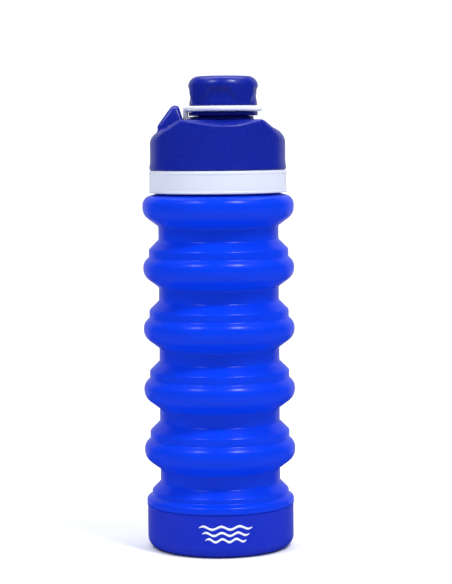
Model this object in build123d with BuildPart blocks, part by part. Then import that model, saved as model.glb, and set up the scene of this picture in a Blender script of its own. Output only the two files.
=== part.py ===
"""Folding silicone water bottle, 600 ml class, in millimetres.

Frame: +Z up, origin at the centre of the base's flat foot. The carry loop stands on the -X
side of the lid, and the drinking spout is set off the bottle's axis towards +X.
The silicone sleeve is one moulding on the real bottle. It is cut here at the narrowest line of
every fold, so that each stretch can follow the fold on its own slide.
"""
from build123d import *
from math import cos, radians, sin
import os

# ---- Driving dimensions --------------------------------------------------------------------
BULGE_R = 38.1            # widest radius, at the crest of each fold
WAIST_R = 30.3            # narrowest outside radius, between two folds
STEP_R = 35.2             # small step ring above each crest
FOLD_PITCH = 30.6         # crest to crest, bottle open
FOLD_COUNT = 5
TOP_CREST_Z = 171.7
SILICONE_WALL = 1.8
CUP_R = 37.0              # outside radius of the firm base cup
CUP_TOP_Z = 21.9          # joint line between the base cup and the sleeve
COLLAR_R = 34.6
COLLAR_BOTTOM_Z = 179.2
COLLAR_TOP_Z = 190.5
LID_R = 33.9
LID_TOP_Z = 215.5         # plateau round the spout
NECK_TOP_Z = 203.5
SPOUT_X = 3.0             # the spout's axis, off the bottle's axis
SPOUT_TOP_Z = 233.0
CAP_R = 17.5
CAP_TOP_Z = 237.5
LID_LEAD = 7.2            # lift per turn of the two-start lid thread
CAP_LEAD = 8.0            # lift per turn of the two-start cap thread
FIT = 0.05                # gap between pieces that are pressed or clamped together

# ---- Sizes that follow from them -----------------------------------------------------------
SLOPE_TOP_DZ = 14.6       # the upper cone of a fold starts this far above the crest
WAIST_DZ = 12.75          # the waist's middle lies this far below the crest
LOWER_CONE_DZ = 9.3       # the lower cone meets the waist this far below the crest
NECK_R = 29.3             # outside of the neck insert
NECK_BORE_R = 26.6
NECK_CREST_R = 30.7       # outside of the neck's thread
LID_BORE_R = 31.0
LID_DECK_Z = 205.3        # underside of the lid's deck, where its gasket sits
SPOUT_R = 12.4
SPOUT_BORE_R = 9.5
CAP_BORE_R = 14.0
CAP_BOTTOM_Z = 217.5
CAP_SHOULDER_Z = 222.5    # top of the groove that holds the tether ring
CAP_DECK_Z = 234.8
RING_IN_R = 15.9          # tether ring
RING_OUT_R = 19.6
RING_Z = (219.6, 222.3)
FOOT_X = -14.9            # where the tether is pegged to the lid

TOP_WAIST_Z = TOP_CREST_Z - WAIST_DZ
LOW_WAIST_Z = TOP_CREST_Z - FOLD_PITCH * (FOLD_COUNT - 1) - WAIST_DZ

os.makedirs("parts", exist_ok=True)


def write_step(part, label):
    """Name a finished piece and write it to its own STEP file."""
    part.label = label
    export_step(part, f"parts/{label}.step")


def thread_ridge(radius, lead, outward, root=0.9, crest=0.5, depth=1.4):
    """One turn of a helical ridge, rooted at radius and standing out of it or into it."""
    side = 1 if outward else -1
    buried = -0.3 * side
    with BuildPart() as ridge:
        with BuildLine() as path:
            Helix(pitch=lead, height=lead, radius=radius)
        start = path.line @ 0
        along = path.line % 0
        with BuildSketch(Plane(origin=start, x_dir=(1, 0, 0), z_dir=along)):
            with BuildLine():
                Polyline(
                    (buried, -root),
                    (buried, root),
                    (depth * side, crest),
                    (depth * side, -crest),
                    close=True,
                )
            make_face()
        sweep(path=path.wires()[0], is_frenet=True)
    return ridge.part


def two_starts(ridge, x, z):
    """Add a ridge and its half-turn twin to the part being built."""
    with Locations((x, 0, z)):
        add(ridge)
        add(ridge, rotation=(0, 0, 180))


# ---- Base cup: a firm shell round the sleeve's closed end ------------------------------------
CUP_WALL = 2.25
CUP_FLOOR = 2.6
RECESS_R = 22.0           # shallow recess in the middle of the underside
RECESS_DEPTH = 0.8

with BuildPart() as base_cup:
    with BuildSketch(Plane.XZ):
        with BuildLine():
            FilletPolyline(
                (0, RECESS_DEPTH),
                (RECESS_R, RECESS_DEPTH),
                (RECESS_R + RECESS_DEPTH, 0),
                (CUP_R, 0),
                (CUP_R, CUP_TOP_Z - FIT),
                (CUP_R - CUP_WALL, CUP_TOP_Z - FIT),
                (CUP_R - CUP_WALL, CUP_FLOOR),
                (0, CUP_FLOOR),
                radius=[0, 0.3, 0.3, 5.5, 0.4, 0, 3.5, 0],
                close=True,
            )
        make_face()
    revolve(axis=Axis.Z)
write_step(base_cup.part, "base_cup")

# ---- Sleeve: closed end, held in the base cup -------------------------------------------------
HEM_R = CUP_R - CUP_WALL - FIT

with BuildPart() as sleeve_floor:
    with BuildSketch(Plane.XZ):
        with BuildLine():
            FilletPolyline(
                (0, CUP_FLOOR + FIT),
                (HEM_R, CUP_FLOOR + FIT),
                (HEM_R, CUP_TOP_Z),
                (HEM_R - SILICONE_WALL, CUP_TOP_Z),
                (HEM_R - SILICONE_WALL, CUP_FLOOR + SILICONE_WALL + FIT),
                (0, CUP_FLOOR + SILICONE_WALL + FIT),
                radius=[0, 3.5, 0, 0, 1.7, 0],
                close=True,
            )
        make_face()
    revolve(axis=Axis.Z)
write_step(sleeve_floor.part, "sleeve_floor")

# ---- Sleeve: lowest stretch, from the joint line up to the lowest waist -----------------------
LOW_STEP_R = 34.6
LOW_CONE_Z = LOW_WAIST_Z - 3.3
LOW_STEP_Z = LOW_CONE_Z - (LOW_STEP_R - WAIST_R)
HEM_IN_R = HEM_R - SILICONE_WALL
INNER_WAIST_R = WAIST_R - SILICONE_WALL

with BuildPart() as sleeve_fold_1:
    with BuildSketch(Plane.XZ):
        with BuildLine():
            FilletPolyline(
                (HEM_IN_R, CUP_TOP_Z),
                (CUP_R + 0.3, CUP_TOP_Z),
                (CUP_R + 0.3, LOW_STEP_Z - 3.9),
                (LOW_STEP_R, LOW_STEP_Z - 2.1),
                (LOW_STEP_R, LOW_STEP_Z),
                (WAIST_R, LOW_CONE_Z),
                (WAIST_R, LOW_WAIST_Z),
                (INNER_WAIST_R, LOW_WAIST_Z),
                (INNER_WAIST_R, LOW_CONE_Z - 0.8),
                (HEM_IN_R, LOW_STEP_Z - 0.8),
                radius=[0, 0.4, 2.2, 1.0, 1.5, 1.5, 0, 0, 1.5, 1.5],
                close=True,
            )
        make_face()
    revolve(axis=Axis.Z)
write_step(sleeve_fold_1.part, "sleeve_fold_1")

# ---- Sleeve: four full folds, waist to waist --------------------------------------------------
for fold in range(2, FOLD_COUNT + 1):
    crest_z = TOP_CREST_Z - FOLD_PITCH * (FOLD_COUNT + 1 - fold)
    with BuildPart() as sleeve_fold:
        with BuildSketch(Plane.XZ):
            with BuildLine():
                outer = FilletPolyline(
                    (WAIST_R, crest_z - WAIST_DZ),
                    (WAIST_R, crest_z - LOWER_CONE_DZ),
                    (BULGE_R, crest_z - 3.5),
                    (BULGE_R, crest_z + 3.0),
                    (STEP_R, crest_z + 5.9),
                    (STEP_R, crest_z + 9.7),
                    (WAIST_R, crest_z + SLOPE_TOP_DZ),
                    (WAIST_R, crest_z + FOLD_PITCH - WAIST_DZ),
                    radius=[1.5, 7.0, 5.5, 1.5, 2.0, 1.5],
                )
                offset(outer, amount=SILICONE_WALL, side=Side.LEFT)
            make_face()
        revolve(axis=Axis.Z)
    write_step(sleeve_fold.part, f"sleeve_fold_{fold}")

# ---- Sleeve: top fold, with its flat shoulder under the collar --------------------------------
MOUTH_R = 31.35

with BuildPart() as sleeve_fold_6:
    with BuildSketch(Plane.XZ):
        with BuildLine():
            top_outer = FilletPolyline(
                (WAIST_R, TOP_WAIST_Z),
                (WAIST_R, TOP_CREST_Z - LOWER_CONE_DZ),
                (BULGE_R, TOP_CREST_Z - 3.5),
                (BULGE_R, TOP_CREST_Z + 5.2),
                (MOUTH_R, TOP_CREST_Z + 6.9),
                (MOUTH_R, COLLAR_BOTTOM_Z - FIT),
                radius=[1.5, 6.5, 5.0, 0.3],
            )
            offset(top_outer, amount=SILICONE_WALL, side=Side.LEFT)
        make_face()
    revolve(axis=Axis.Z)
write_step(sleeve_fold_6.part, "sleeve_fold_6")

# ---- Sleeve: mouth, clamped between the neck insert and the collar ----------------------------
FLANGE_Z = (188.0, 189.4)
FLANGE_R = 32.4
RIB_Z = (182.0, 183.4)
RIB_R = 29.9

with BuildPart() as sleeve_mouth:
    with BuildSketch(Plane.XZ):
        with BuildLine():
            Polyline(
                (NECK_R + FIT, COLLAR_BOTTOM_Z),
                (MOUTH_R, COLLAR_BOTTOM_Z),
                (MOUTH_R, FLANGE_Z[0] - FIT),
                (NECK_R + FIT, FLANGE_Z[0] - FIT),
                (NECK_R + FIT, RIB_Z[1] + FIT),
                (RIB_R + FIT, RIB_Z[1] + FIT),
                (RIB_R + FIT, RIB_Z[0] - FIT),
                (NECK_R + FIT, RIB_Z[0] - FIT),
                close=True,
            )
        make_face()
    revolve(axis=Axis.Z)
write_step(sleeve_mouth.part, "sleeve_mouth")

# ---- Neck insert: the rigid threaded ring inside the mouth ------------------------------------
NECK_THREAD_Z = 193.0

with BuildPart() as neck_insert:
    with BuildSketch(Plane.XZ):
        with BuildLine():
            FilletPolyline(
                (NECK_BORE_R, COLLAR_BOTTOM_Z),
                (NECK_R, COLLAR_BOTTOM_Z),
                (NECK_R, RIB_Z[0]),
                (RIB_R, RIB_Z[0]),
                (RIB_R, RIB_Z[1]),
                (NECK_R, RIB_Z[1]),
                (NECK_R, FLANGE_Z[0]),
                (FLANGE_R, FLANGE_Z[0]),
                (FLANGE_R, FLANGE_Z[1]),
                (NECK_R, FLANGE_Z[1]),
                (NECK_R, NECK_TOP_Z),
                (NECK_BORE_R, NECK_TOP_Z),
                radius=[1.0, 0.5, 0, 0, 0, 0, 0, 0, 0, 0, 0.8, 0.8],
                close=True,
            )
        make_face()
    revolve(axis=Axis.Z)
    two_starts(thread_ridge(NECK_R, LID_LEAD, outward=True), 0, NECK_THREAD_Z)
write_step(neck_insert.part, "neck_insert")

# ---- Clamp collar: the white snap ring that squeezes the mouth on to the neck insert ----------
LIP_BEVEL = 0.7

with BuildPart() as clamp_collar:
    with BuildSketch(Plane.XZ):
        with BuildLine():
            FilletPolyline(
                (MOUTH_R + FIT, COLLAR_BOTTOM_Z),
                (COLLAR_R, COLLAR_BOTTOM_Z),
                (COLLAR_R, COLLAR_TOP_Z - LIP_BEVEL),
                (COLLAR_R - LIP_BEVEL, COLLAR_TOP_Z),
                (NECK_CREST_R + 0.2, COLLAR_TOP_Z),
                (NECK_CREST_R + 0.2, FLANGE_Z[1] + FIT),
                (FLANGE_R + FIT, FLANGE_Z[1] + FIT),
                (FLANGE_R + FIT, FLANGE_Z[0] - FIT),
                (MOUTH_R + FIT, FLANGE_Z[0] - FIT),
                radius=[0, 0.6, 0.3, 0.3, 0, 0, 0, 0, 0],
                close=True,
            )
        make_face()
    revolve(axis=Axis.Z)
write_step(clamp_collar.part, "clamp_collar")

# ---- Lid gasket: a flat ring on the neck's lip, under the lid's deck --------------------------
with BuildPart() as lid_gasket:
    with BuildSketch(Plane.XY.offset(NECK_TOP_Z)):
        Circle(LID_BORE_R - 0.2)
        Circle(NECK_BORE_R, mode=Mode.SUBTRACT)
    extrude(amount=LID_DECK_Z - NECK_TOP_Z)
write_step(lid_gasket.part, "lid_gasket")

# ---- Lid: screw cap with the spout and the carry loop moulded on ------------------------------
LID_BOTTOM_Z = COLLAR_TOP_Z + 0.1
LID_FLARE = 0.5           # the skirt widens this much at its bottom edge
DISH_R = 75.0             # lip recess in front of and behind the spout
DISH_TILT = 10.0
DISH_START_Y = 15.0
DISH_X = 4.2
LOOP_HALF_WIDTH = 8.5
LOOP_INNER_X = -17.2      # foot of the loop's inner side
EYE_Z = 218.7             # hole through the carry loop, for a cord or a small carabiner
EYE_R = 2.5
PEG_R = 1.5               # the tether's peg through the deck
LID_THREAD_Z = NECK_THREAD_Z + LID_LEAD / 4
SPOUT_THREAD_Z = 219.5
SPOUT_SEAT_R = 15.2       # low round step at the spout's foot
SPOUT_SEAT_HEIGHT = 1.8

# carry loop: side view crossed with a rounded arch
with BuildPart() as carry_loop:
    with BuildSketch(Plane.XZ):
        with BuildLine():
            FilletPolyline(
                (-27.0, 206.5),
                (-29.8, 207.5),
                (-29.8, 212.8),
                (-20.35, 226.0),
                (LOOP_INNER_X, 215.6),
                (LOOP_INNER_X, 213.5),
                radius=[0, 0, 1.2, 2.2, 0, 0],
                close=True,
            )
        make_face()
    extrude(amount=LOOP_HALF_WIDTH, both=True)
    with BuildSketch(Plane.YZ.offset(-40)):
        with BuildLine():
            FilletPolyline(
                (-LOOP_HALF_WIDTH, 205),
                (-LOOP_HALF_WIDTH, 214),
                (-4.0, 223.5),
                (4.0, 223.5),
                (LOOP_HALF_WIDTH, 214),
                (LOOP_HALF_WIDTH, 205),
                radius=[0, 4.0, 3.5, 3.5, 4.0, 0],
                close=True,
            )
        make_face()
    extrude(amount=40, mode=Mode.INTERSECT)

with BuildPart() as lid:
    # side view: a flat plateau with an S-curved shoulder on each side
    with BuildSketch(Plane.XZ):
        with BuildLine():
            FilletPolyline(
                (-LID_R - 0.6, LID_BOTTOM_Z),
                (-LID_R - 0.6, LID_BOTTOM_Z + 3),
                (-LID_R - 0.05, LID_BOTTOM_Z + 6),
                (-LID_R - 0.05, 208.3),
                (-24.9, 211.1),
                (-17.9, LID_TOP_Z),
                (23.2, LID_TOP_Z),
                (28.0, 211.7),
                (LID_R + 0.05, 208.5),
                (LID_R + 0.05, LID_BOTTOM_Z + 6),
                (LID_R + 0.6, LID_BOTTOM_Z + 3),
                (LID_R + 0.6, LID_BOTTOM_Z),
                radius=[0, 0, 0, 5.5, 4.0, 4.0, 3.0, 3.0, 6.0, 0, 0, 0],
                close=True,
            )
        make_face()
    extrude(amount=LID_R + 2, both=True)
    # plan view: round, with a slight flare and a rounded bottom edge
    with BuildSketch(Plane.XZ):
        with BuildLine():
            FilletPolyline(
                (0, LID_BOTTOM_Z),
                (LID_R + LID_FLARE, LID_BOTTOM_Z),
                (LID_R, LID_BOTTOM_Z + 5),
                (LID_R, LID_TOP_Z + 1),
                (0, LID_TOP_Z + 1),
                radius=[0, 0.8, 2.0, 0, 0],
                close=True,
            )
        make_face()
    revolve(axis=Axis.Z, mode=Mode.INTERSECT)
    # lip recesses
    for side in (-1, 1):
        start = (DISH_X, side * DISH_START_Y, LID_TOP_Z)
        outward_down = (0, side * cos(radians(DISH_TILT)), -sin(radians(DISH_TILT)))
        dish_plane = Plane(origin=start, x_dir=(-side, 0, 0), z_dir=outward_down)
        with BuildSketch(dish_plane):
            with Locations((0, DISH_R)):
                Circle(DISH_R)
        extrude(amount=30, mode=Mode.SUBTRACT)
    add(carry_loop.part)
    # hollow for the neck, its gasket and the drink's way up to the spout
    with BuildSketch(Plane.XZ):
        with BuildLine():
            Polyline(
                (0, LID_BOTTOM_Z - 1),
                (LID_BORE_R, LID_BOTTOM_Z - 1),
                (LID_BORE_R, LID_DECK_Z),
                (26.0, LID_DECK_Z),
                (24.5, 208.0),
                (17.0, LID_TOP_Z - 2.8),
                (0, LID_TOP_Z - 2.8),
                close=True,
            )
        make_face()
    revolve(axis=Axis.Z, mode=Mode.SUBTRACT)
    two_starts(thread_ridge(LID_BORE_R, LID_LEAD, outward=False), 0, LID_THREAD_Z)
    # spout
    with BuildSketch(Plane.XY.offset(LID_TOP_Z - 1)):
        with Locations((SPOUT_X, 0)):
            Circle(SPOUT_SEAT_R)
    extrude(amount=SPOUT_SEAT_HEIGHT + 1)
    with BuildSketch(Plane.XY.offset(LID_TOP_Z - 1)):
        with Locations((SPOUT_X, 0)):
            Circle(SPOUT_R)
    extrude(amount=SPOUT_TOP_Z - LID_TOP_Z + 1)
    with BuildSketch(Plane.XY.offset(LID_TOP_Z - 5)):
        with Locations((SPOUT_X, 0)):
            Circle(SPOUT_BORE_R)
    extrude(amount=SPOUT_TOP_Z, mode=Mode.SUBTRACT)
    fillet(lid.edges().filter_by(GeomType.CIRCLE).group_by(Axis.Z)[-1], radius=0.9)
    two_starts(thread_ridge(SPOUT_R, CAP_LEAD, outward=True, depth=1.3), SPOUT_X, SPOUT_THREAD_Z)
    # eye of the carry loop and hole for the tether's peg
    with BuildSketch(Plane.YZ.offset(-LID_R)):
        with Locations((0, EYE_Z)):
            Circle(EYE_R)
    extrude(amount=LID_R + LOOP_INNER_X + 0.5, mode=Mode.SUBTRACT)
    with BuildSketch(Plane.XY.offset(LID_TOP_Z - 6)):
        with Locations((FOOT_X, 0)):
            Circle(PEG_R + 0.1)
    extrude(amount=8, mode=Mode.SUBTRACT)
write_step(lid.part, "lid")

# ---- Tether: soft ring round the cap, with a strap pegged to the lid --------------------------
STRAP_WIDTH = 7.0
STRAP_X = (-17.1, -14.6)
FOOT_THICKNESS = 1.6

with BuildPart() as tether:
    with BuildSketch(Plane.XZ):
        with BuildLine():
            FilletPolyline(
                (RING_IN_R, RING_Z[0]),
                (RING_OUT_R, RING_Z[0]),
                (RING_OUT_R, RING_Z[1]),
                (RING_IN_R, RING_Z[1]),
                radius=1.0,
                close=True,
            )
        make_face()
    revolve(axis=Axis.Z)
    with BuildSketch(Plane.XZ):
        with BuildLine():
            Polyline(
                (STRAP_X[0] - SPOUT_X, LID_TOP_Z),
                (-12.6 - SPOUT_X, LID_TOP_Z),
                (-12.6 - SPOUT_X, LID_TOP_Z + FOOT_THICKNESS),
                (STRAP_X[1] - SPOUT_X, LID_TOP_Z + FOOT_THICKNESS),
                (STRAP_X[1] - SPOUT_X, RING_Z[0] + 1),
                (STRAP_X[0] - SPOUT_X, RING_Z[0] + 1),
                close=True,
            )
        make_face()
    extrude(amount=STRAP_WIDTH / 2, both=True)
    with BuildSketch(Plane.XY.offset(LID_TOP_Z - 3.2)):
        with Locations((FOOT_X - SPOUT_X, 0)):
            Circle(PEG_R)
    extrude(amount=4)
    with BuildSketch(Plane.XY.offset(LID_TOP_Z - 4.4)):
        with Locations((FOOT_X - SPOUT_X, 0)):
            Circle(PEG_R + 0.8)
    extrude(amount=1.4)
write_step(tether.part.moved(Location((SPOUT_X, 0, 0))), "tether")

# ---- Spout cap: screws on to the spout, with the tether ring in its groove --------------------
FLANGE_CAP_R = 17.3
GROOVE_R = 15.7
GROOVE_BOTTOM_Z = 219.4
CROWN_FLAT_R = 5.0        # flat middle of the slightly crowned top
SCOOP_R = 20.0            # finger scoops: shallow cylinders cut across the wall
SCOOP_DEPTH = 0.9
SCOOP_Z = 227.6
SCOOP_HALF_WIDTH = 9.0
SCOOP_TURN = 83           # the front scoop sits 7 degrees off the front, towards the loop
CAP_THREAD_Z = SPOUT_THREAD_Z + CAP_LEAD / 4

with BuildPart() as spout_cap:
    with BuildSketch(Plane.XZ):
        with BuildLine():
            FilletPolyline(
                (CAP_BORE_R, CAP_BOTTOM_Z),
                (FLANGE_CAP_R, CAP_BOTTOM_Z),
                (FLANGE_CAP_R, GROOVE_BOTTOM_Z),
                (GROOVE_R, GROOVE_BOTTOM_Z),
                (GROOVE_R, CAP_SHOULDER_Z),
                (CAP_R, CAP_SHOULDER_Z),
                (CAP_R, CAP_TOP_Z - 0.6),
                (CROWN_FLAT_R, CAP_TOP_Z),
                (0, CAP_TOP_Z),
                (0, CAP_DECK_Z),
                (CAP_BORE_R, CAP_DECK_Z),
                radius=[0, 0.5, 0.5, 0, 0, 0.4, 5.0, 30.0, 0, 0, 0],
                close=True,
            )
        make_face()
    revolve(axis=Axis.Z)
    for turn in range(4):
        scoop_plane = Plane.XZ.rotated((0, 0, 90 * turn + SCOOP_TURN))
        with BuildSketch(scoop_plane):
            with Locations((CAP_R - SCOOP_DEPTH + SCOOP_R, SCOOP_Z)):
                Circle(SCOOP_R)
            # the groove and the flange below the shoulder stay whole
            with Locations((CAP_R, CAP_SHOULDER_Z - SCOOP_R)):
                Rectangle(3 * SCOOP_R, 2 * SCOOP_R, mode=Mode.SUBTRACT)
        extrude(amount=SCOOP_HALF_WIDTH, both=True, mode=Mode.SUBTRACT)
    two_starts(thread_ridge(CAP_BORE_R, CAP_LEAD, outward=False, depth=1.3), 0, CAP_THREAD_Z)
write_step(spout_cap.part.moved(Location((SPOUT_X, 0, 0))), "spout_cap")

# ---- Cap liner: the seal disc in the cap ------------------------------------------------------
with BuildPart() as cap_liner:
    with BuildSketch(Plane.XY.offset(SPOUT_TOP_Z)):
        with Locations((SPOUT_X, 0)):
            Circle(CAP_BORE_R - 0.2)
    extrude(amount=CAP_DECK_Z - SPOUT_TOP_Z)
write_step(cap_liner.part, "cap_liner")
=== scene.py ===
"""Looks of a folding silicone water bottle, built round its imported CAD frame.

Shapes are worked out in millimetres in the row frame (+Z up, front at -Y) and written in metres.
Round pieces are turned from an outline. Moulded pieces (lid, spout cap, tether) are described as a
distance field, meshed on a grid and then pulled on to the exact surface.
"""
from math import cos, pi, radians, sin, tan

import bpy
import numpy as np
from mathutils import Matrix, Vector


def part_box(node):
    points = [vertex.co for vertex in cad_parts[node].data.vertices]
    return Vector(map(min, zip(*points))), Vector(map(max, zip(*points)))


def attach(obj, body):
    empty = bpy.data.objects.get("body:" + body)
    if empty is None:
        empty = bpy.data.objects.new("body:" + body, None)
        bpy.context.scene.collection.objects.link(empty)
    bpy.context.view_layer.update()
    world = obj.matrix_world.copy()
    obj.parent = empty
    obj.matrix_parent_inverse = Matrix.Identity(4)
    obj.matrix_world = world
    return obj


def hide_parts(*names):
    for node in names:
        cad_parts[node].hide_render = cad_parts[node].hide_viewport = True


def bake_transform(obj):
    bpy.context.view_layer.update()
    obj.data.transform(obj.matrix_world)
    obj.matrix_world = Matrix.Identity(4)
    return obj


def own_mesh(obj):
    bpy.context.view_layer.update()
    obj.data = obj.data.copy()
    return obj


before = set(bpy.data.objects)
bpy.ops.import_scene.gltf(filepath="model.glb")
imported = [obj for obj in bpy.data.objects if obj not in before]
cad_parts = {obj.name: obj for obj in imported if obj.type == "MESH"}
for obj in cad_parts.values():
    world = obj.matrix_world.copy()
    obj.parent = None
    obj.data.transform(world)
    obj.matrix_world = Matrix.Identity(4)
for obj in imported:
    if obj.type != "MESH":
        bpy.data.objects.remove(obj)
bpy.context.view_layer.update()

MM = 0.001


def box_mm(node):
    """Lowest and highest corners of a CAD node, in millimetres."""
    low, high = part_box(node)
    return np.array(low) / MM, np.array(high) / MM


# ---- Places taken from the frame --------------------------------------------------------------
_, CUP_HIGH = box_mm("base_cup")
COLLAR_LOW, COLLAR_HIGH = box_mm("clamp_collar")
LID_LOW, LID_HIGH = box_mm("lid")
CAP_LOW, CAP_HIGH = box_mm("spout_cap")
_, RING_HIGH = box_mm("tether")
_, GASKET_HIGH = box_mm("lid_gasket")
FOLDS = [box_mm(f"sleeve_fold_{k}") for k in range(1, 7)]

CUP_R = CUP_HIGH[0]
CUP_TOP = FOLDS[0][0][2]
BULGE_R = FOLDS[2][1][0]
PITCH = FOLDS[2][1][2] - FOLDS[2][0][2]
COLLAR_R = COLLAR_HIGH[0]
COLLAR_BOTTOM = COLLAR_LOW[2]
COLLAR_TOP = COLLAR_HIGH[2]
LID_R = LID_HIGH[0] - 0.4            # the skirt flares out by the rest
LID_BOTTOM = LID_LOW[2]
SPOUT_TOP = LID_HIGH[2]
LID_TOP = SPOUT_TOP - 17.5           # flat plateau round the spout
LID_DECK = GASKET_HIGH[2]            # underside that presses on the gasket
LID_BORE_R = GASKET_HIGH[0] + 0.2
SPOUT_X = (CAP_LOW[0] + CAP_HIGH[0]) / 2
CAP_BOTTOM = CAP_LOW[2]
CAP_TOP = CAP_HIGH[2]
RING_TOP = RING_HIGH[2]
RING_BOTTOM = RING_TOP - 2.7
RING_R = RING_HIGH[0] - SPOUT_X
RING_BORE_R = RING_R - 3.7
LID_LEAD = 7.2
CAP_LEAD = 8.0
LID_THREAD_Z = LID_BOTTOM + 4.2
SPOUT_THREAD_Z = CAP_BOTTOM + 2.0
WALL = 1.8                           # silicone wall


# ---- Mesh helpers -----------------------------------------------------------------------------
def new_piece(name, points, faces, material):
    """A smooth-shaded mesh object from points in millimetres."""
    mesh = bpy.data.meshes.new(name)
    mesh.from_pydata([tuple(p) for p in np.asarray(points) * MM], [], [tuple(f) for f in faces])
    mesh.validate()
    mesh.update()
    mesh.shade_smooth()
    mesh.materials.append(material)
    piece = bpy.data.objects.new(name, mesh)
    bpy.context.scene.collection.objects.link(piece)
    return piece


def rounded(corners, spacing=0.7, closed=False):
    """Outline through (r, z, radius) corners: straight runs cut to spacing, corners as true arcs."""
    count = len(corners)
    runs = []
    for i, (r, z, radius) in enumerate(corners):
        here = np.array([r, z], float)
        if radius <= 0 or (not closed and i in (0, count - 1)):
            runs.append([here])
            continue
        before = np.array(corners[i - 1][:2], float) - here
        after = np.array(corners[(i + 1) % count][:2], float) - here
        before /= np.linalg.norm(before)
        after /= np.linalg.norm(after)
        half = np.arccos(np.clip(before @ after, -1, 1)) / 2
        reach = radius / tan(half)
        middle = before + after
        centre = here + middle / np.linalg.norm(middle) * radius / sin(half)
        a, b = here + before * reach - centre, here + after * reach - centre
        sweep = pi - 2 * half
        steps = max(3, int(sweep / radians(9)))
        turn = np.sign(a[0] * b[1] - a[1] * b[0])
        arc = []
        for s in range(steps + 1):
            angle = turn * sweep * s / steps
            c, d = cos(angle), sin(angle)
            arc.append(centre + np.array([c * a[0] - d * a[1], d * a[0] + c * a[1]]))
        runs.append(arc)
    points = []
    for i, run in enumerate(runs):
        points.extend(run)
        if not closed and i == count - 1:
            break
        start, end = run[-1], runs[(i + 1) % count][0]
        length = np.linalg.norm(end - start)
        pieces = int(length / spacing)
        for s in range(1, pieces):
            points.append(start + (end - start) * s / pieces)
    keep = [points[0]]
    for p in points[1:]:
        if np.linalg.norm(p - keep[-1]) > 1e-4:
            keep.append(p)
    if closed and np.linalg.norm(keep[0] - keep[-1]) < 1e-4:
        keep.pop()
    return np.array(keep)


def offset_corners(corners, distance, least_radius=0.4):
    """The same corners moved sideways (to the left of travel), with their radii adjusted."""
    flat = [np.array(c[:2], float) for c in corners]
    moved = []
    for i, (r, z, radius) in enumerate(corners):
        sides = []
        for a, b in ((i - 1, i), (i, i + 1)):
            if a < 0 or b >= len(flat):
                continue
            step = (flat[b] - flat[a]) / np.linalg.norm(flat[b] - flat[a])
            sides.append(np.array([-step[1], step[0]]))
        if len(sides) == 1:
            shift = sides[0] * distance
            turn = 0
        else:
            bisector = sides[0] + sides[1]
            shift = bisector * distance * 2 / (bisector @ bisector)
            turn = sides[0][0] * sides[1][1] - sides[0][1] * sides[1][0]
        new_radius = 0 if radius == 0 else max(least_radius, radius - distance * np.sign(turn))
        moved.append((flat[i][0] + shift[0], flat[i][1] + shift[1], new_radius))
    return moved


def turned(name, outline, material, segments=192, centre=(0, 0), ripple=None):
    """Solid of revolution from a closed (r, z) outline; points on the axis become single poles."""
    angles = np.arange(segments) * 2 * pi / segments
    points, rings = [], []
    for r, z in outline:
        if r < 1e-4:
            rings.append([len(points)])
            points.append((centre[0], centre[1], z))
            continue
        rings.append(list(range(len(points), len(points) + segments)))
        for a in angles:
            grow = ripple(a, r, z) if ripple else 0
            points.append((centre[0] + (r + grow) * cos(a), centre[1] + (r + grow) * sin(a), z))
    faces = []
    for i, lower in enumerate(rings):
        upper = rings[(i + 1) % len(rings)]
        if len(lower) == 1 and len(upper) == 1:
            continue
        for s in range(segments):
            t = (s + 1) % segments
            if len(lower) == 1:
                faces.append((lower[0], upper[t], upper[s]))
            elif len(upper) == 1:
                faces.append((lower[s], lower[t], upper[0]))
            else:
                faces.append((lower[s], lower[t], upper[t], upper[s]))
    return new_piece(name, points, faces, material)


# ---- Distance-field helpers -------------------------------------------------------------------
def smooth_step(a, b, x):
    t = np.clip((x - a) / (b - a), 0, 1)
    return t * t * (3 - 2 * t)


def both(a, b, radius):
    """Intersection with a rounded edge."""
    u = np.maximum(a + radius, 0)
    v = np.maximum(b + radius, 0)
    return np.minimum(-radius, np.maximum(a, b)) + np.sqrt(u * u + v * v)


def either(a, b, radius):
    """Union with a rounded inner corner."""
    return -both(-a, -b, radius)


def without(a, b, radius):
    """a with b cut away, and the edge rounded."""
    return both(a, -b, radius)


def half_plane(u, v, p, q):
    """Signed distance to the line from p to q, negative on its right-hand side."""
    du, dv = q[0] - p[0], q[1] - p[1]
    length = (du * du + dv * dv) ** 0.5
    return ((v - p[1]) * du - (u - p[0]) * dv) / length


def thread(r, angle, z, radius, lead, z_low, z_high, z_start, outward, depth):
    """Two-start helical ridge that stands out of a wall, or into it, between two heights."""
    pitch = lead / 2
    height = z - z_start - lead * angle / (2 * pi)
    off = np.abs(height - pitch * np.round(height / pitch))
    side = 1 if outward else -1
    out = (r - radius) * side
    fade_in = smooth_step(z_low, z_low + 1.2, z)
    fade_out = 1 - smooth_step(z_high - 1.2, z_high, z)
    run_out = depth * np.minimum(fade_in, fade_out)
    flank = off - 0.9 + 0.3 * out
    ridge = both(both(out - run_out, flank, 0.25), -out - 1.2, 0.2)
    return both(ridge, np.maximum(z_low - z, z - z_high), 0.1)


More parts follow.
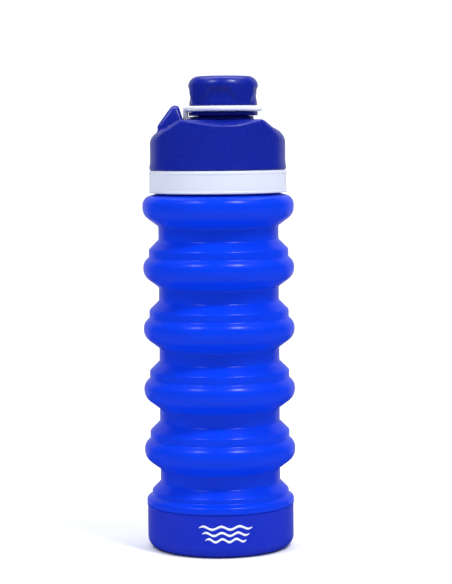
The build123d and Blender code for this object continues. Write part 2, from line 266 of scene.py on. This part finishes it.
def meshed(name, field, low, high, cell, material):
    """Surface nets of field(x, y, z) < 0 on a grid, then each point is pulled on to the zero surface."""
    axes = [np.arange(lo - cell, hi + 2 * cell, cell) for lo, hi in zip(low, high)]
    gx, gy, gz = np.meshgrid(*axes, indexing="ij")
    values = field(gx, gy, gz)
    inside = values < 0
    nx, ny, nz = values.shape
    corner_sum = np.zeros((nx - 1, ny - 1, nz - 1, 3))
    crossings = np.zeros((nx - 1, ny - 1, nz - 1), int)
    for axis in range(3):
        a = [slice(None)] * 3
        b = [slice(None)] * 3
        a[axis], b[axis] = slice(0, -1), slice(1, None)
        va, vb = values[tuple(a)], values[tuple(b)]
        crosses = inside[tuple(a)] != inside[tuple(b)]
        share = np.where(crosses, va / np.where(crosses, va - vb, 1), 0)
        others = [i for i in range(3) if i != axis]
        for du in (0, 1):
            for dv in (0, 1):
                pick = [slice(None)] * 3
                pick[others[0]] = slice(du, du + corner_sum.shape[others[0]])
                pick[others[1]] = slice(dv, dv + corner_sum.shape[others[1]])
                hit = crosses[tuple(pick)]
                crossings += hit
                corner_sum[..., axis] += np.where(hit, share[tuple(pick)], 0)
                corner_sum[..., others[0]] += hit * du
                corner_sum[..., others[1]] += hit * dv
    active = crossings > 0
    index = np.full(active.shape, -1)
    index[active] = np.arange(active.sum())
    cells = np.argwhere(active)
    points = cells + corner_sum[active] / crossings[active][:, None]
    points = points * cell + np.array([a[0] for a in axes])
    quads = []
    for axis in range(3):
        u, v = [(1, 2), (2, 0), (0, 1)][axis]
        a = [slice(None)] * 3
        b = [slice(None)] * 3
        a[axis], b[axis] = slice(0, -1), slice(1, None)
        first, second = inside[tuple(a)], inside[tuple(b)]
        edges = np.argwhere(first != second)
        edges = edges[(edges[:, u] > 0) & (edges[:, v] > 0)]
        edges = edges[(edges[:, u] < active.shape[u]) & (edges[:, v] < active.shape[v])]
        leaving = first[tuple(edges.T)]
        step_u, step_v = np.zeros(3, int), np.zeros(3, int)
        step_u[u], step_v[v] = 1, 1
        ring = [edges - step_u - step_v, edges - step_v, edges, edges - step_u]
        quad = np.stack([index[tuple(c.T)] for c in ring], 1)
        quad[~leaving] = quad[~leaving][:, ::-1]
        quads.append(quad)
    quads = np.concatenate(quads)
    nudge = 0.02
    for _ in range(6):
        x, y, z = points.T
        here = field(x, y, z)
        slope = np.stack([
            field(x + nudge, y, z) - field(x - nudge, y, z),
            field(x, y + nudge, z) - field(x, y - nudge, z),
            field(x, y, z + nudge) - field(x, y, z - nudge),
        ], 1) / (2 * nudge)
        steep = np.maximum((slope * slope).sum(1), 0.2)
        move = slope * (here / steep)[:, None]
        size = np.linalg.norm(move, axis=1)
        limit = 0.35 * cell
        move *= np.minimum(1, limit / np.maximum(size, 1e-9))[:, None]
        points = points - move
    return new_piece(name, points, quads, material)


# ---- Materials --------------------------------------------------------------------------------
class Shader:
    """A Principled material with a few procedural layers."""

    def __init__(self, name, **values):
        self.material = bpy.data.materials.new(name)
        self.material.use_nodes = True
        self.tree = self.material.node_tree
        self.bsdf = self.tree.nodes["Principled BSDF"]
        for key, value in values.items():
            self.bsdf.inputs[key.replace("_", " ")].default_value = value
        self.place = self.tree.nodes.new("ShaderNodeTexCoord").outputs["Object"]

    def link(self, output, target):
        self.tree.links.new(output, target)

    def noise(self, scale, detail=3.0, roughness=0.5, stretch=(1, 1, 1)):
        """Noise in object space; scale is features per metre."""
        mapping = self.tree.nodes.new("ShaderNodeMapping")
        mapping.inputs["Scale"].default_value = stretch
        self.link(self.place, mapping.inputs["Vector"])
        node = self.tree.nodes.new("ShaderNodeTexNoise")
        node.inputs["Scale"].default_value = scale
        node.inputs["Detail"].default_value = detail
        node.inputs["Roughness"].default_value = roughness
        self.link(mapping.outputs["Vector"], node.inputs["Vector"])
        return node.outputs["Fac"]

    def spread(self, value, low, high):
        """Map a 0..1 value on to low..high."""
        node = self.tree.nodes.new("ShaderNodeMapRange")
        node.inputs["From Min"].default_value = 0.3
        node.inputs["From Max"].default_value = 0.7
        node.inputs["To Min"].default_value = low
        node.inputs["To Max"].default_value = high
        self.link(value, node.inputs["Value"])
        return node.outputs["Result"]

    def mix(self, factor, first, second):
        """Colour mix; factor is a socket."""
        node = self.tree.nodes.new("ShaderNodeMix")
        node.data_type = "RGBA"
        node.inputs["A"].default_value = (*first, 1)
        node.inputs["B"].default_value = (*second, 1)
        self.link(factor, node.inputs["Factor"])
        return node.outputs["Result"]

    def bump(self, *layers):
        """Layers are (height socket, strength, distance in metres)."""
        normal = None
        for height, strength, distance in layers:
            node = self.tree.nodes.new("ShaderNodeBump")
            node.inputs["Strength"].default_value = strength
            node.inputs["Distance"].default_value = distance
            self.link(height, node.inputs["Height"])
            if normal is not None:
                self.link(normal, node.inputs["Normal"])
            normal = node.outputs["Normal"]
        self.link(normal, self.bsdf.inputs["Normal"])


def silicone(name, colour, second, roughness, scatter, sheen):
    """Translucent silicone: soft scatter inside, a satin skin with mould mottling and a dusty sheen."""
    s = Shader(name, Roughness=roughness, IOR=1.43, Subsurface_Weight=scatter,
               Subsurface_Scale=0.004, Sheen_Weight=sheen, Sheen_Roughness=0.45,
               Specular_IOR_Level=0.17)
    s.bsdf.inputs["Subsurface Radius"].default_value = (0.25, 0.4, 1.0)
    s.bsdf.inputs["Sheen Tint"].default_value = (0.55, 0.6, 1.0, 1)
    mottle = s.noise(60, detail=2)
    s.link(s.mix(mottle, colour, second), s.bsdf.inputs["Base Color"])
    s.link(s.spread(s.noise(260, detail=3, roughness=0.5), roughness - 0.02, roughness + 0.03),
           s.bsdf.inputs["Roughness"])
    s.bump((s.noise(5200, detail=2), 0.08, 0.00004), (s.noise(90, detail=1), 0.04, 0.0004))
    return s.material


def moulded(name, colour, second, roughness, grain):
    """Injection-moulded plastic: fine spark-eroded grain, faint flow variation."""
    s = Shader(name, Roughness=roughness, IOR=1.49, Specular_IOR_Level=0.3)
    flow = s.noise(45, detail=2, stretch=(1, 1, 0.35))
    s.link(s.mix(flow, colour, second), s.bsdf.inputs["Base Color"])
    s.link(s.spread(s.noise(700, detail=4), roughness - 0.04, roughness + 0.06), s.bsdf.inputs["Roughness"])
    s.bump((s.noise(3800, detail=3, roughness=0.6), grain, 0.00006),
           (s.noise(120, detail=1), 0.05, 0.0004))
    return s.material


sleeve_silicone = silicone("sleeve_silicone", (0.001, 0.041, 0.70), (0.0015, 0.037, 0.66),
                           0.24, 0.06, 0.004)
base_silicone = silicone("base_silicone", (0.005, 0.024, 0.50), (0.006, 0.022, 0.47), 0.38, 0.06, 0.02)
lid_plastic = moulded("lid_plastic", (0.003, 0.014, 0.28), (0.004, 0.012, 0.26), 0.28, 0.16)
cap_plastic = moulded("cap_plastic", (0.002, 0.012, 0.26), (0.003, 0.011, 0.24), 0.28, 0.16)
white_plastic = moulded("white_plastic", (0.64, 0.67, 0.79), (0.62, 0.65, 0.78), 0.34, 0.12)
neck_plastic = moulded("neck_plastic", (0.74, 0.78, 0.86), (0.70, 0.74, 0.84), 0.32, 0.10)
tether_silicone = silicone("tether_silicone", (0.82, 0.85, 0.92), (0.78, 0.81, 0.90), 0.42, 0.25, 0.2)
seal_silicone = silicone("seal_silicone", (0.72, 0.74, 0.78), (0.66, 0.68, 0.74), 0.5, 0.3, 0.2)
print_ink = moulded("print_ink", (0.86, 0.88, 0.92), (0.82, 0.84, 0.90), 0.5, 0.3)


# ---- Sleeve -----------------------------------------------------------------------------------
WAIST_R = 30.3
STEP_R = 35.2             # small step ring above each crest
LOW_STEP_R = 34.6         # the same ring under the lowest waist
FOOT_R = CUP_R + 0.3
MOUTH_R = 31.35           # where the sleeve goes up into the collar
FOLD_COUNT = 5
FIRST_CREST = 12.75       # height of the lowest crest above the lowest waist


def sleeve_corners():
    """Outer outline of the whole folding sleeve, from the cup's joint line up to the collar."""
    low_waist = FOLDS[0][1][2]
    corners = [
        (FOOT_R, CUP_TOP, 0),
        (FOOT_R, low_waist - 11.5, 2.0),
        (LOW_STEP_R, low_waist - 9.7, 0.9),
        (LOW_STEP_R, low_waist - 7.6, 1.3),
        (WAIST_R, low_waist - 3.3, 1.5),
    ]
    for k in range(FOLD_COUNT):
        crest = low_waist + FIRST_CREST + PITCH * k
        corners += [(WAIST_R, crest - 9.3, 1.5), (BULGE_R, crest - 3.5, 6.8)]
        if k < FOLD_COUNT - 1:
            corners += [
                (BULGE_R, crest + 3.0, 5.5),
                (STEP_R, crest + 5.9, 1.2),
                (STEP_R, crest + 9.7, 1.4),
                (WAIST_R, crest + 14.6, 1.5),
            ]
        else:
            corners += [
                (BULGE_R, crest + 5.2, 5.0),
                (MOUTH_R, crest + 6.9, 0.3),
                (MOUTH_R, COLLAR_BOTTOM - 0.05, 0),
            ]
    return corners


RIPPLE_HEIGHT = 0.07


def sleeve_ripple(angle, r, z):
    """The slight unevenness of a soft moulding, a tenth of a millimetre or so."""
    fade = smooth_step(CUP_TOP, CUP_TOP + 6, z) * (1 - smooth_step(COLLAR_BOTTOM - 6, COLLAR_BOTTOM, z))
    wave = sin(2 * angle + z * 0.031)
    wave += 0.6 * sin(3 * angle - z * 0.047 + 1.3)
    wave += 0.3 * sin(5 * angle + z * 0.09)
    return RIPPLE_HEIGHT * fade * wave


def make_sleeve():
    corners = sleeve_corners()
    outer = rounded(corners)
    inner = rounded(offset_corners(corners, WALL))
    outline = np.concatenate([outer, inner[::-1]])
    piece = turned("silicone_sleeve", outline, sleeve_silicone, segments=256, ripple=sleeve_ripple)
    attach(piece, "base")
    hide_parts(*[f"sleeve_fold_{k}" for k in range(1, 7)])
    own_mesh(piece)


# ---- Base cup ---------------------------------------------------------------------------------
def make_base_cup():
    wall = 2.25
    floor = 2.6
    foot_recess_r = 22.0
    foot_recess = 0.8
    top = CUP_HIGH[2]
    outline = rounded([
        (0, foot_recess, 0),
        (foot_recess_r, foot_recess, 0.4),
        (foot_recess_r + foot_recess, 0, 0.4),
        (CUP_R, 0, 5.5),
        (CUP_R, top, 0.45),
        (CUP_R - wall, top, 0.1),
        (CUP_R - wall, floor, 3.5),
        (0, floor, 0),
    ])
    piece = turned("base_shell", outline, base_silicone, segments=256)
    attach(piece, "base")
    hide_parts("base_cup")


def make_print():
    """Three plain printed waves on the front of the base cup, a film a few hundredths thick."""
    rows, columns = 3, 160
    half_span = radians(21)
    middle = radians(-90 + 4)
    top_row, row_gap = 15.6, 3.1
    crests, wave_height = 3, 0.75
    stroke, blunt_end = 0.55, 0.02
    film, sunk = 0.06, 0.02
    points, faces = [], []
    for row in range(rows):
        span = half_span * (1 - 0.12 * row)
        height = top_row - row_gap * row
        start = len(points)
        for c in range(columns + 1):
            share = c / columns
            angle = middle - span + 2 * span * share
            taper = min(1, 9 * share, 9 * (1 - share)) ** 0.5
            z = height + wave_height * sin(share * 2 * pi * crests)
            half = stroke * taper + blunt_end
            for r, dz in ((CUP_R - sunk, -half), (CUP_R - sunk, half),
                          (CUP_R + film, half), (CUP_R + film, -half)):
                points.append((r * cos(angle), r * sin(angle), z + dz))
        for c in range(columns):
            a, b = start + 4 * c, start + 4 * (c + 1)
            for side in range(4):
                beside = (side + 1) % 4
                faces.append((a + side, b + side, b + beside, a + beside))
        faces.append((start, start + 1, start + 2, start + 3))
        end = start + 4 * columns
        faces.append((end + 3, end + 2, end + 1, end))
    piece = new_piece("printed_waves", points, faces, print_ink)
    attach(piece, "base")


# ---- Collar -----------------------------------------------------------------------------------
def make_collar():
    bore = 31.4
    lip_bore = 30.9
    groove_r = 32.45          # room for the neck's flange
    groove_top = COLLAR_TOP - 1.05
    groove_bottom = COLLAR_TOP - 2.55
    outline = rounded([
        (bore, COLLAR_BOTTOM, 0.2),
        (COLLAR_R, COLLAR_BOTTOM, 0.55),
        (COLLAR_R, COLLAR_BOTTOM + 1.0, 0.15),
        (COLLAR_R - 0.2, COLLAR_BOTTOM + 1.25, 0.3),
        (COLLAR_R - 0.2, COLLAR_TOP - 1.9, 0.3),
        (COLLAR_R, COLLAR_TOP - 1.6, 0.15),
        (COLLAR_R, COLLAR_TOP - 0.75, 0.3),
        (COLLAR_R - 0.7, COLLAR_TOP, 0.3),
        (lip_bore, COLLAR_TOP, 0.2),
        (lip_bore, groove_top, 0),
        (groove_r, groove_top, 0),
        (groove_r, groove_bottom, 0),
        (bore, groove_bottom, 0),
    ], closed=True)
    piece = turned("white_collar", outline, white_plastic, segments=256)
    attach(piece, "neck")
    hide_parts("clamp_collar")


# ---- Lid --------------------------------------------------------------------------------------
# side view of the shoulders, left to right: rim, kink and plateau edge
LEFT_SHOULDER = ((-33.95, LID_TOP - 7.2), (-24.9, LID_TOP - 4.4), (-17.9, LID_TOP))
RIGHT_SHOULDER = ((22.6, LID_TOP), (27.6, LID_TOP - 4.1), (33.95, LID_TOP - 6.9))
DISH_X = 4.2              # lowest point of the two lip recesses
DISH_SLOPE = radians(10)
DISH_START = 15           # distance from the middle at which the recesses begin
EYE_Z = LID_TOP + 3.2
EYE_R = 2.5
LOOP_OUTER_X = -29.8
LOOP_INNER_X = -17.2
LOOP_PEAK = (-20.35, LID_TOP + 10.5)
LOOP_ARCH_Z = LID_TOP + 8.0
LOOP_HALF_WIDTH = 8.5
SEAT_R = 15.2
SEAT_HEIGHT = 1.8
SPOUT_R = 12.4
SPOUT_BORE_R = 9.5
SPOUT_RIDGE = 1.3         # how far the cap's thread stands out of the spout
LID_RIDGE = 1.4
DOME_TOP = LID_TOP - 2.8
PEG_X = -14.9             # where the tether is pegged to the lid
PEG_HOLE_R = 1.6


def lid_top(x, y, z):
    """Distance to the lid's upper surface: plateau, S-curved shoulders and two lip recesses."""
    top = z - LID_TOP
    for first, kink, last in (LEFT_SHOULDER, RIGHT_SHOULDER):
        lower = half_plane(x, z, first, kink)
        upper = half_plane(x, z, kink, last)
        top = both(top, either(lower, upper, 0.3), 0.9)
    dish = LID_TOP - tan(DISH_SLOPE) * (np.abs(y) - DISH_START) + (x - DISH_X) ** 2 / 150
    return both(top, (z - dish) * cos(DISH_SLOPE), 0.45)


def carry_loop_field(x, y, z):
    """A thin arch across X with a round eye through it."""
    outer = half_plane(x, z, (LOOP_OUTER_X, LID_TOP - 2.7), LOOP_PEAK)
    inner = half_plane(x, z, LOOP_PEAK, (LOOP_INNER_X, LID_TOP + 0.1))
    side = both(both(outer, inner, 3.6), LOOP_OUTER_X - x, 0.3)
    across = np.abs(y)
    arch = half_plane(across, z, (4.0, LOOP_ARCH_Z), (LOOP_HALF_WIDTH, LID_TOP - 1.5))
    arch = both(arch, z - LOOP_ARCH_Z, 3.5)
    loop = both(side, both(arch, across - LOOP_HALF_WIDTH, 3.5), 2.0)
    eye = np.sqrt(y * y + (z - EYE_Z) ** 2) - EYE_R
    loop = without(loop, eye, 0.6)
    return both(loop, LID_TOP - 9 - z, 0.5)


def lid_shell(x, y, z, r):
    """The lid's outside without the spout: wall with a flared skirt, upper surface and carry loop."""
    flare = 0.45 * (1 - smooth_step(LID_BOTTOM, LID_BOTTOM + 5, z))
    wall = r - (LID_R + flare)
    soft = 0.6 + 1.9 * smooth_step(13, 20, np.abs(x - 2)) + 1.8 * smooth_step(26, 31.5, np.abs(x))
    body = both(both(wall, lid_top(x, y, z), soft), LID_BOTTOM - z, 0.7)
    return either(body, carry_loop_field(x, y, z), 1.2)


def spout_field(xs, y, z, rs):
    """The threaded spout; xs and rs are measured from the spout's axis."""
    spout = both(rs - SPOUT_R, z - SPOUT_TOP, 0.9)
    spout = both(spout, LID_TOP - 1 - z, 0.3)
    ridge = thread(rs, np.arctan2(y, xs), z, SPOUT_R, CAP_LEAD, LID_TOP + 3.4, SPOUT_TOP - 4.5,
                   SPOUT_THREAD_Z, True, SPOUT_RIDGE)
    return either(spout, ridge, 0.3)


def lid_hollow(r, z):
    """Room for the neck, with a dome above it."""
    neck_room = both(r - LID_BORE_R, z - LID_DECK, 0.5)
    dome_wall = half_plane(r, z, (17.0, DOME_TOP), (24.5, LID_TOP - 7.5))
    dome = both(both(r - 26.0, dome_wall, 1.0), z - DOME_TOP, 1.0)
    return either(neck_room, dome, 0.3)


def lid_field(x, y, z):
    r = np.sqrt(x * x + y * y)
    xs = x - SPOUT_X
    rs = np.sqrt(xs * xs + y * y)
    body = lid_shell(x, y, z, r)
    seat = both(rs - SEAT_R, z - (LID_TOP + SEAT_HEIGHT), 0.4)
    body = either(body, both(seat, LID_TOP - 1 - z, 0.3), 0.8)
    body = either(body, spout_field(xs, y, z, rs), 0.6)
    body = without(body, lid_hollow(r, z), 0.35)
    body = without(body, both(rs - SPOUT_BORE_R, LID_TOP - 5 - z, 0.3), 0.6)
    inner_ridge = thread(r, np.arctan2(y, x), z, LID_BORE_R, LID_LEAD, LID_BOTTOM + 3, LID_DECK - 1.6,
                         LID_THREAD_Z, False, LID_RIDGE)
    body = np.minimum(body, inner_ridge)
    peg = np.sqrt((x - PEG_X) ** 2 + y * y) - PEG_HOLE_R
    return without(body, both(peg, LID_TOP - 7 - z, 0.2), 0.2)


def make_lid():
    reach = 35.2
    cell = 0.5
    low = (-reach, -reach, LID_BOTTOM - 1)
    high = (reach, reach, SPOUT_TOP + 1)
    piece = meshed("screw_lid", lid_field, low, high, cell, lid_plastic)
    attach(piece, "lid")
    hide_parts("lid")


# ---- Spout cap --------------------------------------------------------------------------------
CAP_R = 17.5
CAP_BORE_R = 14.0
CAP_RIDGE = 1.3
CAP_CROWN = 2.7           # thickness of the closed end
GROOVE_R = 15.7           # the tether ring sits in this groove
FLANGE_R = 17.3
FLANGE_HEIGHT = 1.9
SHOULDER_Z = RING_TOP + 0.2
SCOOP_DEPTH = 1.15
FINE_CELL = 0.33          # mesh cell of the spout cap and the tether
SCOOP_ANGLES = [radians(-97 + 90 * k) for k in range(4)]


def scoop_depth(angle, z):
    """Depth of the four finger scoops: a soft ledge at the top, widening and fading downwards."""
    deep_z = CAP_TOP - 9.2
    ledge = 1 - smooth_step(deep_z, CAP_TOP - 4.8, z)
    fade = 0.4 + 0.6 * smooth_step(SHOULDER_Z, deep_z, z)
    half_width = radians(24) + radians(17) * (1 - smooth_step(SHOULDER_Z, deep_z + 1, z))
    depth = np.zeros_like(z)
    for centre in SCOOP_ANGLES:
        off = np.abs(np.angle(np.exp(1j * (angle - centre))))
        depth = np.maximum(depth, 1 - smooth_step(0.6, 1.0, off / half_width))
    return SCOOP_DEPTH * depth * ledge * fade


def cap_field(x, y, z):
    xs = x - SPOUT_X
    r = np.sqrt(xs * xs + y * y)
    angle = np.arctan2(y, xs)
    crown = CAP_TOP - 0.6 * (r / CAP_R) ** 2
    wall = r - CAP_R + scoop_depth(angle, z)
    body = both(both(wall, z - crown, 4.8), SHOULDER_Z - z, 0.45)
    groove = both(r - GROOVE_R, CAP_BOTTOM + 0.5 - z, 0.2)
    groove = both(groove, z - SHOULDER_Z - 1, 0.2)
    body = either(body, groove, 0.15)
    flange = both(r - FLANGE_R, z - (CAP_BOTTOM + FLANGE_HEIGHT), 0.4)
    body = either(body, both(flange, CAP_BOTTOM - z, 0.25), 0.15)
    hollow = both(r - CAP_BORE_R, z - (CAP_TOP - CAP_CROWN), 0.4)
    body = without(body, hollow, 0.25)
    ridge = thread(r, angle, z, CAP_BORE_R, CAP_LEAD, CAP_BOTTOM + 1.2, CAP_TOP - 5.5,
                   SPOUT_THREAD_Z + CAP_LEAD / 4, False, CAP_RIDGE)
    return np.minimum(body, ridge)


def make_cap():
    reach = CAP_R + 1
    low = (SPOUT_X - reach, -reach, CAP_BOTTOM - 1)
    high = (SPOUT_X + reach, reach, CAP_TOP + 1)
    piece = meshed("spout_screw_cap", cap_field, low, high, FINE_CELL, cap_plastic)
    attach(piece, "spout_cap")
    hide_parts("spout_cap")


# ---- Tether -----------------------------------------------------------------------------------
STRAP_X = -15.85
STRAP_HALF_THICKNESS = 1.25
STRAP_HALF_WIDTH = 3.5
PAD_X = -14.6             # the strap's round foot on the lid
PAD_R = 3.4
PAD_HEIGHT = 1.6
PEG_R = 1.5
PEG_HEAD_R = 2.3


def tether_field(x, y, z):
    xs = x - SPOUT_X
    r = np.sqrt(xs * xs + y * y)
    middle_r, half_r = (RING_R + RING_BORE_R) / 2, (RING_R - RING_BORE_R) / 2
    middle_z, half_z = (RING_TOP + RING_BOTTOM) / 2, (RING_TOP - RING_BOTTOM) / 2
    ring = both(np.abs(r - middle_r) - half_r, np.abs(z - middle_z) - half_z, 1.0)
    strap = both(np.abs(x - STRAP_X) - STRAP_HALF_THICKNESS, np.abs(y) - STRAP_HALF_WIDTH, 0.7)
    strap = both(strap, z - (RING_TOP - 0.6), 0.6)
    strap = both(strap, LID_TOP - z, 0.2)
    pad = np.sqrt((x - PAD_X) ** 2 + y * y) - PAD_R
    foot = both(pad, np.abs(z - LID_TOP - PAD_HEIGHT / 2) - PAD_HEIGHT / 2, 0.5)
    foot = both(foot, STRAP_X - STRAP_HALF_THICKNESS - x, 0.3)
    from_peg = np.sqrt((x - PEG_X) ** 2 + y * y)
    peg = both(from_peg - PEG_R, LID_TOP - 4.4 - z, 0.3)
    peg = both(peg, z - LID_TOP - 1, 0.2)
    head = both(from_peg - PEG_HEAD_R, np.abs(z - LID_TOP + 3.7) - 0.7, 0.5)
    strap = either(strap, either(foot, either(peg, head, 0.3), 0.2), 0.25)
    return either(ring, strap, 0.25)


def make_tether():
    reach = RING_R + 1
    low = (SPOUT_X - reach, -reach, LID_TOP - 5.5)
    high = (SPOUT_X + reach, reach, RING_TOP + 1)
    piece = meshed("tether_ring_strap", tether_field, low, high, FINE_CELL, tether_silicone)
    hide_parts("tether")
    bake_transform(piece)


# ---- CAD nodes that are shown as they are -----------------------------------------------------
def finish_cad_nodes():
    finishes = {
        "sleeve_floor": sleeve_silicone,
        "sleeve_mouth": sleeve_silicone,
        "neck_insert": neck_plastic,
        "lid_gasket": seal_silicone,
        "cap_liner": seal_silicone,
    }
    for node, material in finishes.items():
        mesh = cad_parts[node].data
        mesh.materials.clear()
        mesh.materials.append(material)


# ---- Studio -----------------------------------------------------------------------------------
def area_light(name, place, target, size, power, colour=(1, 1, 1)):
    data = bpy.data.lights.new(name, "AREA")
    data.shape = "RECTANGLE"
    data.size, data.size_y = size
    data.energy = power
    data.color = colour
    lamp = bpy.data.objects.new(name, data)
    lamp.location = place
    lamp.rotation_euler = (Vector(target) - Vector(place)).to_track_quat("-Z", "Y").to_euler()
    bpy.context.scene.collection.objects.link(lamp)
    return lamp


def make_studio():
    """A pale seamless sweep, two raised key lamps, soft fills, a top light and a white card behind."""
    depth, width, rise, bend = 1.2, 3.0, 1.6, 0.5
    path = [(-2.2, 0.0), (depth - bend, 0.0)]
    path += [(depth - bend + bend * sin(a), bend - bend * cos(a)) for a in np.linspace(0, pi / 2, 13)[1:]]
    path.append((depth, rise))
    points = [(side * width, y, z) for y, z in path for side in (-1, 1)]
    faces = [(2 * i, 2 * i + 1, 2 * i + 3, 2 * i + 2) for i in range(len(path) - 1)]
    s = Shader("studio_paper", Roughness=0.75)
    s.link(s.mix(s.noise(3, detail=2), (0.88, 0.89, 0.91), (0.90, 0.91, 0.93)), s.bsdf.inputs["Base Color"])
    floor = new_piece("studio_sweep", np.array(points) / MM, faces, s.material)
    floor.visible_glossy = False

    def from_front(azimuth, elevation, distance):
        a, e = radians(azimuth), radians(elevation)
        return (distance * sin(a) * cos(e), -distance * cos(a) * cos(e), middle[2] + distance * sin(e))

    middle = (0, 0, 0.12)
    area_light("key_right", from_front(40, 56, 1.2), middle, (0.20, 0.24), 8.5)
    area_light("key_left", from_front(-48, 54, 1.2), middle, (0.24, 0.24), 4.4, (0.96, 0.98, 1.0))
    fills = [
        area_light("fill_right", from_front(60, 44, 1.5), middle, (0.8, 0.8), 6.6),
        area_light("fill_left", from_front(-60, 44, 1.5), middle, (0.8, 0.8), 5.8, (0.97, 0.98, 1.0)),
    ]
    area_light("back_top", (0.0, 0.5, 1.5), (0, 0.3, 0), (1.6, 0.8), 13.0)
    for fill in fills:
        fill.visible_glossy = False
    rear_card = area_light("rear_card", (0, 1.0, 0.35), middle, (2.6, 1.3), 5.0)
    rear_card.visible_diffuse = False
    rear_card.visible_camera = False

    world = bpy.data.worlds.new("studio_surround")
    world.use_nodes = True
    tree = world.node_tree
    background = tree.nodes["Background"]
    background.inputs["Color"].default_value = (0.93, 0.95, 1.0, 1)
    rays = tree.nodes.new("ShaderNodeLightPath")
    level = tree.nodes.new("ShaderNodeMapRange")
    level.inputs["To Min"].default_value = 0.22
    level.inputs["To Max"].default_value = 0.05
    tree.links.new(rays.outputs["Is Glossy Ray"], level.inputs["Value"])
    tree.links.new(level.outputs["Result"], background.inputs["Strength"])
    bpy.context.scene.world = world
    bpy.context.scene.view_settings.view_transform = "Standard"


def make_camera():
    """Long lens, a metre away at the height of the lid, tilted down a little."""
    distance = 1.004
    tilt = 0.0798
    data = bpy.data.cameras.new("camera")
    data.lens = 123.1
    camera = bpy.data.objects.new("camera", data)
    camera.location = (0.0036, -distance, (COLLAR_TOP + 18.7) * MM)
    roll = radians(-0.5)
    aim = Matrix.Rotation(pi / 2 - tilt, 3, "X") @ Matrix.Rotation(roll, 3, "Z")
    camera.rotation_euler = aim.to_euler()
    bpy.context.scene.collection.objects.link(camera)
    bpy.context.scene.camera = camera


make_sleeve()
make_base_cup()
make_print()
make_collar()
make_lid()
make_cap()
make_tether()
finish_cad_nodes()
make_studio()
make_camera()
